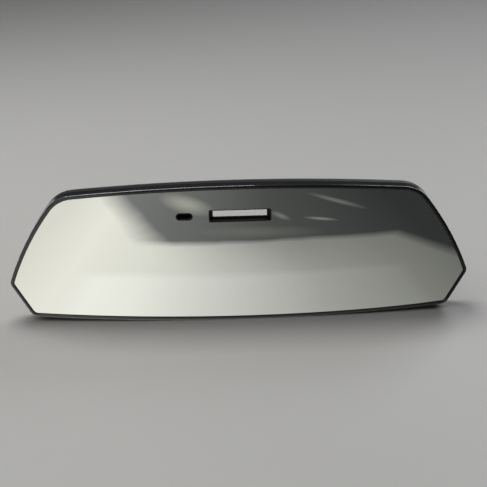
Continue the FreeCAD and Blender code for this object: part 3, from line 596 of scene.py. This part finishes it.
@dataclass
class MirrorGlass:
    """The convex mirror, its front rebuilt as a dense spherical face with exact normals.

    Args:
        spacing: The distance between the front's inner vertices.
        clearance: How near the rim an inner vertex may lie, as a share of the spacing.
        sphere_reach: How far off the sphere a vertex still counts as on it.
        sharp_from: The turn in degrees from which the glass's edges stay sharp.
        front: The finish of the face.
        edge: The finish of bevel, edge and back.
    """

    spacing: float = 3.0 * MM
    clearance: float = 0.6
    sphere_reach: float = 0.02 * MM
    sharp_from: float = 12.0
    front: SilveredGlass = field(default_factory=SilveredGlass)
    edge: GroundEdge = field(default_factory=GroundEdge)

    @property
    def face_radius(self) -> float:
        """The radius of the glass's front."""
        return FACE_RADIUS - GLASS_DEPTH

    @property
    def centre(self) -> Vector:
        """The centre of the front's sphere."""
        return Vector((0.0, FACE_CROWN + FACE_RADIUS, FACE_CENTRE_HEIGHT))

    def build(self) -> None:
        """Builds the glass and puts it in the CAD node's place."""
        mesh = Piece.welded("mirror_glass")
        front = [face for face in mesh.faces if self._on_front(face)]
        rims = self._loops([edge for face in front for edge in face.edges])
        self._narrow_bevel(rims)
        bmesh.ops.delete(mesh, geom=front, context="FACES_ONLY")
        for face in mesh.faces:
            face.material_index = 1
        self._fill(mesh, rims)
        bmesh.ops.recalc_face_normals(mesh, faces=mesh.faces)
        made = Piece.from_bmesh("silvered_face", mesh, self.front.material(), self.sharp_from)
        made.data.materials.append(self.edge.material())
        self._set_normals(made.data)
        Piece.attach(made, "housing", "mirror", "mirror_glass")

    def _on_front(self, face: bmesh.types.BMFace) -> bool:
        """Whether a face lies on the front sphere."""
        return all(self._on_sphere(vertex) for vertex in face.verts)

    @staticmethod
    def _loops(edges: Iterable[bmesh.types.BMEdge]) -> list[list[bmesh.types.BMVert]]:
        """Chains the edges that only one front face uses into closed loops."""
        counts: dict[bmesh.types.BMEdge, int] = {}
        for edge in edges:
            counts[edge] = counts.get(edge, 0) + 1
        border = [edge for edge, count in counts.items() if count == 1]
        after: dict[bmesh.types.BMVert, list[bmesh.types.BMVert]] = {}
        for edge in border:
            first, second = edge.verts
            after.setdefault(first, []).append(second)
            after.setdefault(second, []).append(first)
        loops, seen = [], set()
        for start in after:
            if start in seen:
                continue
            loop, here, before = [], start, None
            while here not in seen:
                seen.add(here)
                loop.append(here)
                onward = [vertex for vertex in after[here] if vertex is not before and vertex not in seen]
                before = here
                here = onward[0] if onward else here
            loops.append(loop)
        return sorted(loops, key=len, reverse=True)

    @staticmethod
    def _outer(loops: list[list[bmesh.types.BMVert]]) -> list[bmesh.types.BMVert]:
        """The loop that reaches furthest, which is the glass's rim."""
        return max(loops, key=lambda loop: max(vertex.co.x for vertex in loop))

    def _narrow_bevel(self, loops: list[list[bmesh.types.BMVert]]) -> None:
        """Draws the face out over half of the bevel, so the ground edge is a fine line."""
        outer = self._outer(loops)
        ring = set(outer)
        moves = {}
        for vertex in outer:
            near = (edge.other_vert(vertex) for edge in vertex.link_edges)
            partners = [other for other in near if other not in ring and not self._on_sphere(other)]
            if not partners:
                continue
            far = min(partners, key=lambda other: (other.co - vertex.co).length)
            middle = (vertex.co + far.co) / 2
            moves[vertex] = self._lifted(middle.x, middle.z)
            moves[far] = Vector((far.co.x, middle.y, far.co.z))
        for vertex, place in moves.items():
            vertex.co = place

    def _on_sphere(self, vertex: bmesh.types.BMVert) -> bool:
        """Whether a vertex lies on the front sphere."""
        return abs((vertex.co - self.centre).length - self.face_radius) < self.sphere_reach

    def _fill(self, mesh: bmesh.types.BMesh, loops: list[list[bmesh.types.BMVert]]) -> None:
        """Fills the region between the outer loop and the window loops with small triangles."""
        outer = self._outer(loops)
        holes = [loop for loop in loops if loop is not outer]
        flat = {id(loop): [(vertex.co.x, vertex.co.z) for vertex in loop] for loop in loops}
        known = [vertex for loop in loops for vertex in loop]
        points = [Vector((vertex.co.x, vertex.co.z)) for vertex in known]
        edges, start = [], 0
        for loop in loops:
            edges += [(start + step, start + (step + 1) % len(loop)) for step in range(len(loop))]
            start += len(loop)
        margin = self.clearance * self.spacing
        spread = [max(abs(vertex.co.x) for vertex in outer), max(vertex.co.z for vertex in outer)]
        columns, rows = int(spread[0] / self.spacing) + 1, int(spread[1] / self.spacing) + 1
        for column in range(-columns, columns + 1):
            for row in range(rows + 1):
                across = (column + 0.5 * (row % 2)) * self.spacing
                up = row * self.spacing
                if self._within(across, up, flat[id(outer)]) and not any(
                        self._within(across, up, flat[id(hole)]) for hole in holes) and all(
                        (Vector((across, up)) - point).length > margin for point in points[:len(known)]):
                    points.append(Vector((across, up)))
        spots, _, triangles, *_ = delaunay_2d_cdt(points, edges, [], 0, 1e-7)
        made = list(known)
        for spot in spots[len(known):]:
            made.append(mesh.verts.new(self._lifted(spot.x, spot.y)))
        for triangle in triangles:
            across = sum(spots[corner].x for corner in triangle) / 3
            up = sum(spots[corner].y for corner in triangle) / 3
            if self._within(across, up, flat[id(outer)]) and not any(
                    self._within(across, up, flat[id(hole)]) for hole in holes):
                mesh.faces.new([made[corner] for corner in triangle]).material_index = 0

    def _lifted(self, across: float, up: float) -> Vector:
        """The point of the front sphere at an X and a Z."""
        centre, rise = self.centre, up - self.centre.z
        bulge = math.sqrt(self.face_radius ** 2 - across ** 2 - rise ** 2)
        return Vector((across, centre.y - bulge, up))

    @staticmethod
    def _within(across: float, up: float, loop: Sequence[tuple[float, float]]) -> bool:
        """Whether a point lies inside a closed loop."""
        inside = False
        for (x0, z0), (x1, z1) in zip(loop, loop[1:] + loop[:1]):
            if (z0 > up) != (z1 > up) and across < x0 + (up - z0) * (x1 - x0) / (z1 - z0):
                inside = not inside
        return inside

    def _set_normals(self, data: bpy.types.Mesh) -> None:
        """Gives the front face the sphere's own normals."""
        normals = [Vector((0.0, 0.0, 0.0))] * len(data.loops)
        for polygon in data.polygons:
            if polygon.material_index == 0:
                for loop in polygon.loop_indices:
                    spot = data.vertices[data.loops[loop].vertex_index].co
                    normals[loop] = (spot - self.centre).normalized()
        data.normals_split_custom_set(normals)


# ---------------------------------------------------------------- shell and windows


@dataclass
class Shell:
    """The moulded shell, its bonding sheet and the two window pieces."""

    plastic: ShellPlastic = field(default_factory=ShellPlastic)
    frame_plastic: MouldedPlastic = MouldedPlastic("window_frame_plastic", (0.008, 0.008, 0.009), 0.36,
                                                   0.3 * MM)
    frame_edge: float = 0.18 * MM
    sheet_edge: float = 0.12 * MM

    def build(self, rubber: bpy.types.Material, foam: bpy.types.Material) -> None:
        """Dresses the shell's CAD nodes and softens the display window's frame.

        Args:
            rubber: The rubber finish, for the sensor shroud.
            foam: The foam finish, for the bonding sheet.
        """
        dress("rear_shell", self.plastic.material())
        sheet = Piece.softened("glass_bonding_sheet", foam, self.sheet_edge)
        Piece.attach(sheet, "housing", "foam", "glass_bonding_sheet")
        shroud = Piece.softened("sensor_shroud", rubber, self.sheet_edge)
        Piece.attach(shroud, "housing", "rubber", "sensor_shroud")
        bezel = Piece.softened("display_window_frame", self.frame_plastic.material(), self.frame_edge)
        Piece.attach(bezel, "housing", "black_gloss", "display_window_frame")


def dress(node: str, material: bpy.types.Material) -> None:
    """Gives a CAD node one material."""
    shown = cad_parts[node]
    shown.data.materials.clear()
    shown.data.materials.append(material)
    LOG.info("%s wears %s", node, material.name)


# ---------------------------------------------------------------- clips


@dataclass
class Finishes:
    """The materials that the clips share."""

    rubber: bpy.types.Material
    foam: bpy.types.Material
    strip: bpy.types.Material
    cover: bpy.types.Material
    rail: bpy.types.Material
    screw: bpy.types.Material
    pin: bpy.types.Material
    wire: bpy.types.Material

    @classmethod
    def make(cls) -> "Finishes":
        """Builds every shared material once."""
        return cls(
            rubber=SoftRubber().material(),
            foam=CellFoam().material(),
            strip=PlatedSteel("zinc_strip", stretch=(0.04, 1.0, 1.0)).material(),
            cover=PlatedSteel("zinc_cover", (0.56, 0.565, 0.56), 0.36).material(),
            rail=MouldedPlastic("rail_plastic", (0.020, 0.020, 0.021), 0.55).material(),
            screw=PlatedSteel("plated_screw", (0.50, 0.50, 0.49), 0.34, (1.0, 1.0, 1.0)).material(),
            pin=PlatedSteel("turned_pin", (0.62, 0.62, 0.61), 0.24, (1.0, 0.3, 0.3)).material(),
            wire=PlatedSteel("spring_wire", (0.36, 0.36, 0.37), 0.30, (0.4, 0.4, 0.4)).material(),
        )


@dataclass
class Clip:
    """One spring clip: rail, cover, fixed hook, sliding arm with its claw, and their springs.

    Args:
        side: Which clip it is.
        finishes: The shared materials.

    Arcs are a start and a sweep in half turns, a widening is across an arc's loop, and steps are tube
    sections a turn, or over one loop.
    """

    side: Side
    finishes: Finishes
    edge: float = 0.25 * MM
    return_wire: float = 0.25 * MM
    return_turns: int = 29
    return_steps: int = 14
    loop_steps: int = 10
    anchor_arc: tuple[float, float] = (-0.1, 1.5)
    anchor_widening: float = 1.15
    post_arc: tuple[float, float] = (-0.35, 1.45)
    post_widening: float = 1.1
    claw_wire: float = 0.28 * MM
    claw_turns: float = 3.0
    claw_steps: int = 18
    claw_tail: float = 0.8 * MM
    rib_radius: float = 0.34 * MM
    rib_pitch: float = 1.9 * MM
    rib_margin: float = 1.2 * MM
    rib_inset: float = 1.3 * MM
    rib_facets: int = 10
    rib_sharp_from: float = 40.0
    grip_margin: float = 1.4 * MM
    shelf_rise: float = 4.2 * MM
    shelf_lip: float = 6.6 * MM
    sleeve_edge: float = 0.32 * MM
    cover_edge: float = 0.18 * MM
    pad_edge: float = 0.3 * MM
    pad_fill: float = 0.95

    def node(self, name: str) -> str:
        """A node's name on this side."""
        return f"{name}_{self.side.word}"

    @property
    def arm_body(self) -> str:
        """The sliding body's name."""
        return f"upper_clip_{self.side.word}"

    @property
    def claw_body(self) -> str:
        """The claw body's name."""
        return f"claw_{self.side.word}"

    def build(self) -> None:
        """Builds and dresses the whole clip."""
        self._hard_parts()
        self._host_pads()
        self._rubber_parts()
        self._return_spring()
        self._claw_spring()

    def _hard_parts(self) -> None:
        """Softens the strip and moulded parts and dresses the turned ones."""
        finishes = self.finishes
        for name, body, material, slot, width in (
                ("clip_rail", "housing", finishes.rail, "rail_plastic", self.edge),
                ("rail_cover", "housing", finishes.cover, "steel", self.cover_edge),
                ("lower_hook", "housing", finishes.strip, "steel", self.edge),
                ("upper_slider", self.arm_body, finishes.strip, "steel", self.edge),
                ("upper_claw", self.claw_body, finishes.strip, "steel", self.edge)):
            piece = Piece.softened(self.node(name), material, width)
            Piece.attach(piece, body, slot, self.node(name))
        for name, material in (("rail_screws", finishes.screw), ("hook_screws", finishes.screw),
                               ("spring_anchor_pin", finishes.pin), ("slider_spring_post", finishes.pin),
                               ("claw_pin", finishes.pin)):
            dress(self.node(name), material)

    def _host_pads(self) -> None:
        """Rolls over the cut edges of the foam pads that rest on the host mirror."""
        piece = Piece.softened(self.node("host_pads"), self.finishes.foam, self.pad_edge)
        Piece.attach(piece, "housing", "foam", self.node("host_pads"))

    def _rubber_parts(self) -> None:
        """Softens the rubber sleeves and adds grip ribs on the faces that touch the host."""
        low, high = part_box(self.node("lower_hook_sleeve"))
        shelf_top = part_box(self.node("lower_hook"))[0].z + self.shelf_rise
        shelf_ribs = [(depth, shelf_top)
                      for depth in self._steps(low.y + self.rib_margin, high.y - self.shelf_lip)]
        self._sleeve("lower_hook_sleeve", "housing", shelf_ribs)
        low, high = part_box(self.node("upper_hook_sleeve"))
        self._sleeve("upper_hook_sleeve", self.arm_body,
                     [(depth, low.z)
                      for depth in self._steps(low.y + self.rib_margin, high.y - self.rib_margin)])
        low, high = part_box(self.node("claw_grip"))
        self._sleeve("claw_grip", self.claw_body,
                     [(low.y, height)
                      for height in self._steps(low.z + self.grip_margin, high.z - self.rib_margin)])

    def _steps(self, start: float, end: float) -> list[float]:
        """Evenly spaced rib places from start to end."""
        count = max(int((end - start) / self.rib_pitch), 1)
        return [start + (end - start) * step / count for step in range(count + 1)]

    def _sleeve(self, name: str, body: str, ribs: Sequence[tuple[float, float]]) -> None:
        """A rubber piece with half-round ribs along X at the given depths and heights."""
        piece = Piece.softened(self.node(name), self.finishes.rubber, self.sleeve_edge)
        low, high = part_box(self.node(name))
        mesh = bmesh.new()
        mesh.from_mesh(piece.data)
        for depth, height in ribs:
            ends = [Vector((across, depth, height))
                    for across in (low.x + self.rib_inset, high.x - self.rib_inset)]
            Piece.tube(mesh, ends, self.rib_radius, self.rib_facets)
        mesh.to_mesh(piece.data)
        mesh.free()
        piece.data.polygons.foreach_set("use_smooth", [True] * len(piece.data.polygons))
        piece.data.set_sharp_from_angle(angle=math.radians(self.rib_sharp_from))
        Piece.attach(piece, body, "rubber", self.node(name))

    def _return_spring(self) -> None:
        """Winds the extension spring, with one loop round the anchor pin and one round the slider's post."""
        low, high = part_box(self.node("return_spring"))
        anchor_low, anchor_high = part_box(self.node("spring_anchor_pin"))
        post_low, post_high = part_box(self.node("slider_spring_post"))
        across, depth = (low.x + high.x) / 2, (low.y + high.y) / 2
        wire = self.return_wire
        coil = (high.x - low.x) / 2 - wire
        path = []
        loop = (anchor_high.z - anchor_low.z) / 2 + wire
        middle = (anchor_high.z + anchor_low.z) / 2
        start, sweep = self.anchor_arc
        for step in range(self.loop_steps + 1):
            angle = math.pi * (start + sweep * step / self.loop_steps)
            path.append(Vector((across, depth + loop * self.anchor_widening * math.cos(angle + math.pi),
                                middle - loop * math.sin(angle))))
        count = self.return_turns * self.return_steps
        for step in range(count + 1):
            angle = math.tau * step / self.return_steps
            climb = low.z + wire + (high.z - low.z - 2 * wire) * step / count
            path.append(Vector((across + coil * math.sin(angle), depth + coil * math.cos(angle), climb)))
        reach = (post_high.x - post_low.x) / 2 + wire
        summit = (post_high.z + post_low.z) / 2
        start, sweep = self.post_arc
        for step in range(self.loop_steps + 1):
            angle = math.pi * (start + sweep * step / self.loop_steps)
            path.append(Vector((across + reach * self.post_widening * math.cos(angle), depth,
                                summit + reach * math.sin(angle))))
        mesh = bmesh.new()
        Piece.tube(mesh, path, wire, 8)
        piece = Piece.from_bmesh(f"{self.node('return_spring')}_wire", mesh, self.finishes.wire)
        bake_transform(piece)
        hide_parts(self.node("return_spring"))
        LOG.info("%s stretches between housing and %s", piece.name, self.arm_body)

    def _claw_spring(self) -> None:
        """Winds the torsion spring on the claw's pin, with its leg lying on the arm."""
        low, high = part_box(self.node("claw_spring"))
        pin_low, pin_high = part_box(self.node("claw_pin"))
        axis_y, axis_z = (pin_low.y + pin_high.y) / 2, (pin_low.z + pin_high.z) / 2
        wire = self.claw_wire
        coil = high.z - axis_z - wire
        path = [Vector((low.x + wire, low.y + wire, axis_z + coil)),
                Vector((low.x + wire, (low.y + axis_y) / 2, axis_z + coil))]
        count = int(self.claw_turns * self.claw_steps)
        for step in range(count + 1):
            angle = math.tau * step / self.claw_steps
            path.append(Vector((low.x + wire + (high.x - low.x - 2 * wire) * step / count,
                                axis_y + coil * math.sin(angle), axis_z + coil * math.cos(angle))))
        path.append(path[-1] + Vector((self.claw_tail, 0.0, 0.0)))
        mesh = bmesh.new()
        Piece.tube(mesh, path, wire, 10)
        piece = Piece.from_bmesh(f"{self.node('claw_spring')}_wire", mesh, self.finishes.wire)
        Piece.attach(piece, self.arm_body, "spring_steel", self.node("claw_spring"))


# ---------------------------------------------------------------- studio


@dataclass(frozen=True)
class Softbox:
    """An area light.

    Args:
        name: The light's name.
        place: Where it hangs.
        aim: The point it faces.
        size: Its width and height.
        power: Its power in watts.
        colour: Its colour.
    """

    name: str
    place: Point
    aim: Point
    size: tuple[float, float]
    power: float
    colour: Colour = (1.0, 1.0, 1.0)

    def hang(self) -> None:
        """Adds the light to the scene."""
        data = bpy.data.lights.new(self.name, "AREA")
        data.shape = "RECTANGLE"
        data.size, data.size_y = self.size
        data.energy = self.power
        data.color = self.colour
        lamp = bpy.data.objects.new(self.name, data)
        lamp.location = self.place
        lamp.rotation_euler = (Vector(self.aim) - Vector(self.place)).to_track_quat("-Z", "Y").to_euler()
        bpy.context.scene.collection.objects.link(lamp)


@dataclass(frozen=True)
class LightSpot:
    """A soft, long patch of painted light on the painted reflection sheet.

    Args:
        centre: Its middle, as X and Y.
        half_length: Half its length.
        half_width: Half its width.
        turn: The direction of its length, in degrees from +X.
        strength: How strongly it shows, from 0 to 1.
    """

    centre: tuple[float, float]
    half_length: float
    half_width: float
    turn: float
    strength: float


@dataclass
class Studio:
    """Pale floor, soft lights, a glowing sheet painted with the reflected surroundings' light and shade, and
    the camera.
    """

    floor_colour: Colour = (0.275, 0.273, 0.268)
    floor_reach: float = 6.0
    sky: tuple[tuple[float, Colour], ...] = (
        (0.0, (0.05, 0.051, 0.053)), (0.35, (0.035, 0.036, 0.038)), (0.7, (0.16, 0.163, 0.168)),
        (1.0, (0.24, 0.243, 0.248)))
    # Colours of the painted reflection sheet: painted light near the glass and further out, painted shade,
    # and patches of painted window light.
    near_tone: Colour = (1.0, 1.0, 1.0)
    far_tone: Colour = (0.90, 0.895, 0.88)
    lit_stops: tuple[tuple[float, Colour], ...] = (
        (0.0, (0.84, 0.84, 0.775)), (0.14, (0.97, 0.97, 0.90)), (0.30, (0.86, 0.865, 0.80)),
        (0.47, (0.61, 0.615, 0.58)), (0.66, (0.37, 0.375, 0.35)), (0.83, (0.255, 0.26, 0.24)),
        (1.0, (0.165, 0.17, 0.16)))
    shade_stops: tuple[tuple[float, Colour], ...] = (
        (0.0, (0.20, 0.205, 0.20)), (0.30, (0.138, 0.143, 0.138)), (0.55, (0.075, 0.079, 0.077)),
        (1.0, (0.032, 0.035, 0.034)))
    shade_slant: float = 0.434
    corner_slant: float = 0.57
    penumbra_share: float = 0.38
    table_drop: float = 0.3 * MM
    table_reach: float = 1.6
    behind_colour: Colour = (0.34, 0.34, 0.33)
    spot_colour: Colour = (0.42, 0.42, 0.36)
    spots: tuple[LightSpot, ...] = (
        LightSpot((-0.050, -0.265), 0.050, 0.022, 60.0, 0.75),
        LightSpot((0.104, -0.258), 0.045, 0.007, 55.0, 0.28),
        LightSpot((0.079, -0.203), 0.018, 0.005, 25.0, 0.42),
        LightSpot((0.043, -0.218), 0.018, 0.006, 65.0, 0.30),
        LightSpot((0.020, -0.175), 0.060, 0.018, 5.0, 0.12),
    )
    azimuth: float = -1.36
    elevation: float = 22.0
    roll: float = -1.19
    distance: float = 551.7 * MM
    aim_across: float = 2.45 * MM
    aim_depth: float = -24.7 * MM
    aim_height: float = 48.7 * MM
    lens: float = 70.8
    lights: tuple[Softbox, ...] = (
        Softbox("key", (-0.9, -0.35, 1.3), (0.0, 0.0, 0.0), (1.5, 1.5), 15.0, (1.0, 0.985, 0.96)),
        Softbox("overhead", (-0.27, 0.24, 0.95), (-0.27, 0.20, 0.0), (0.65, 0.40), 9.0, (1.0, 0.99, 0.97)),
        Softbox("rear_fill", (0.9, 1.1, 1.2), (0.0, 0.0, 0.03), (0.9, 0.9), 14.0, (0.95, 0.97, 1.0)),
    )

    def build(self) -> None:
        """Builds the whole studio."""
        self._camera()
        self._world()
        self._floor()
        self._reflected_table()
        for light in self.lights:
            light.hang()
        bpy.context.scene.view_settings.view_transform = "Standard"

    def _camera(self) -> None:
        """Places the camera by azimuth, elevation, roll and distance."""
        azimuth, elevation, roll = map(math.radians, (self.azimuth, self.elevation, self.roll))
        back = Vector((math.sin(azimuth) * math.cos(elevation), -math.cos(azimuth) * math.cos(elevation),
                       math.sin(elevation)))
        right = (-back).cross(Vector((0.0, 0.0, 1.0))).normalized()
        up = right.cross(-back)
        across = math.cos(roll) * right + math.sin(roll) * up
        upward = -math.sin(roll) * right + math.cos(roll) * up
        aim = Vector((self.aim_across, self.aim_depth, self.aim_height))
        data = bpy.data.cameras.new("camera")
        data.lens = self.lens
        data.sensor_width = 36.0
        data.clip_start = 0.01
        camera = bpy.data.objects.new("camera", data)
        turned = Matrix((across, upward, back)).transposed().to_4x4()
        camera.matrix_world = Matrix.Translation(aim + back * self.distance) @ turned
        bpy.context.scene.collection.objects.link(camera)
        bpy.context.scene.camera = camera

    def _world(self) -> None:
        """Soft light from all round, brighter overhead than at the horizon."""
        world = bpy.data.worlds.new("studio")
        world.use_nodes = True
        nodes, links = world.node_tree.nodes, world.node_tree.links
        split = nodes.new("ShaderNodeSeparateXYZ")
        links.new(nodes.new("ShaderNodeTexCoord").outputs["Generated"], split.inputs[0])
        ramp = nodes.new("ShaderNodeValToRGB")
        Graph.set_stops(ramp.color_ramp, self.sky)
        links.new(split.outputs[2], ramp.inputs[0])
        links.new(ramp.outputs[0], nodes["Background"].inputs["Color"])
        bpy.context.scene.world = world

    def _plane(self, name: str, height: float, reach: float) -> bpy.types.Object:
        """A square sheet at a height."""
        mesh = bmesh.new()
        corners = [mesh.verts.new((across * reach, depth * reach, height))
                   for across, depth in ((-1, -1), (1, -1), (1, 1), (-1, 1))]
        mesh.faces.new(corners)
        data = bpy.data.meshes.new(name)
        mesh.to_mesh(data)
        mesh.free()
        made = bpy.data.objects.new(name, data)
        bpy.context.scene.collection.objects.link(made)
        return made

    def _floor(self) -> None:
        """A plain pale floor with a barely visible grain."""
        graph = Graph("pale_floor")
        tone = graph.noise(40 * MM, 4.0, 0.6)
        graph.set(Base_Color=graph.blend(tone * 0.5, self.floor_colour,
                                         tuple(part * 0.96 for part in self.floor_colour)), Roughness=0.55)
        floor = self._plane("floor", 0.0, self.floor_reach)
        floor.data.materials.append(graph.material)
        # Reflections see the painted reflection sheet below instead of the floor.
        floor.visible_glossy = False

    def _reflected_table(self) -> None:
        """A glowing sheet just under the floor that only reflections see: a painted reflection of a lit
        table.

        Its glow is painted light and shade: painted light at the left and near the glass, painted shade at
        the right and beyond where the key light would reach, with a few soft patches of painted window light
        in the shade.
        """
        graph = Graph("reflected_table")
        across, depth, _ = graph.position()
        wander = graph.noise(60 * MM, 3.0, 0.5) * 0.012 - 0.006
        lit = graph.node("ShaderNodeValToRGB", {"stops": self.lit_stops},
                         {0: (across + wander).above(0.0, 0.34)})
        near = ((depth + wander).above(-0.088, 0.012) * across.above(0.118, -0.012)
                * across.above(-0.108, 0.02))
        lit_near = graph.node("ShaderNodeMix", {"data_type": "RGBA", "blend_type": "MULTIPLY"},
                              {"Factor": 1.0, "A": lit.outputs[0], "B": graph.blend(near, self.far_tone,
                                                                                   self.near_tone)})
        shade = graph.node("ShaderNodeValToRGB", {"stops": self.shade_stops},
                           {0: across.above(0.02, 0.28)})
        slanted = across - depth * self.shade_slant
        beyond = (depth + wander).above(-0.150, -0.016) * (slanted + wander).above(-0.004, 0.034)
        corner = (across - depth * self.corner_slant).above(0.222, 0.02)
        dark = graph.blend(self._light_spots(graph, across, depth), shade.outputs[0], self.spot_colour)
        penumbra = ((depth + wander * 3.0).above(-0.118, -0.07) * slanted.above(0.035, 0.10)
                    * across.above(0.10, -0.12) * self.penumbra_share)
        covered = beyond.math("MAXIMUM", beyond, corner)
        covered = covered.math("MAXIMUM", covered, penumbra)
        seen = graph.blend(covered * depth.above(0.05, -0.06), lit_near.outputs["Result"], dark)
        seen = graph.blend(depth.above(0.01, 0.04), seen, self.behind_colour)
        graph.tree.nodes.remove(graph.shader)
        # Painted reflection: the sheet glows with the painted light and shade above instead of being lit by
        # the lamps.
        glow = graph.node("ShaderNodeEmission", {}, {"Color": seen})
        output = next(node for node in graph.tree.nodes if node.type == "OUTPUT_MATERIAL")
        graph.feed(output.inputs["Surface"], glow.outputs[0])
        sheet = self._plane("reflected_table", -self.table_drop, self.table_reach)
        sheet.data.materials.append(graph.material)
        for ray in ("camera", "diffuse", "transmission", "volume_scatter", "shadow"):
            setattr(sheet, f"visible_{ray}", False)

    def _light_spots(self, graph: Graph, across: Wire, depth: Wire) -> Wire:
        """The strength of the painted light patches at a place on the painted reflection sheet."""
        total: Value = 0.0
        for spot in self.spots:
            turn = math.radians(spot.turn)
            over, back = across - spot.centre[0], depth - spot.centre[1]
            along = (over * math.cos(turn) + back * math.sin(turn)) * (1.0 / spot.half_length)
            aside = (back * math.cos(turn) - over * math.sin(turn)) * (1.0 / spot.half_width)
            total = total + (along * along + aside * aside).root().above(0.6, -0.8) * spot.strength
        return total


def main() -> None:
    """Builds studio, glass, shell and clips in order."""
    logging.basicConfig(level=logging.INFO, format="%(name)s: %(message)s")
    Studio().build()
    finishes = Finishes.make()
    MirrorGlass().build()
    Shell().build(finishes.rubber, finishes.foam)
    for side in Side:
        Clip(side, finishes).build()


if __name__ == "__main__":
    main()
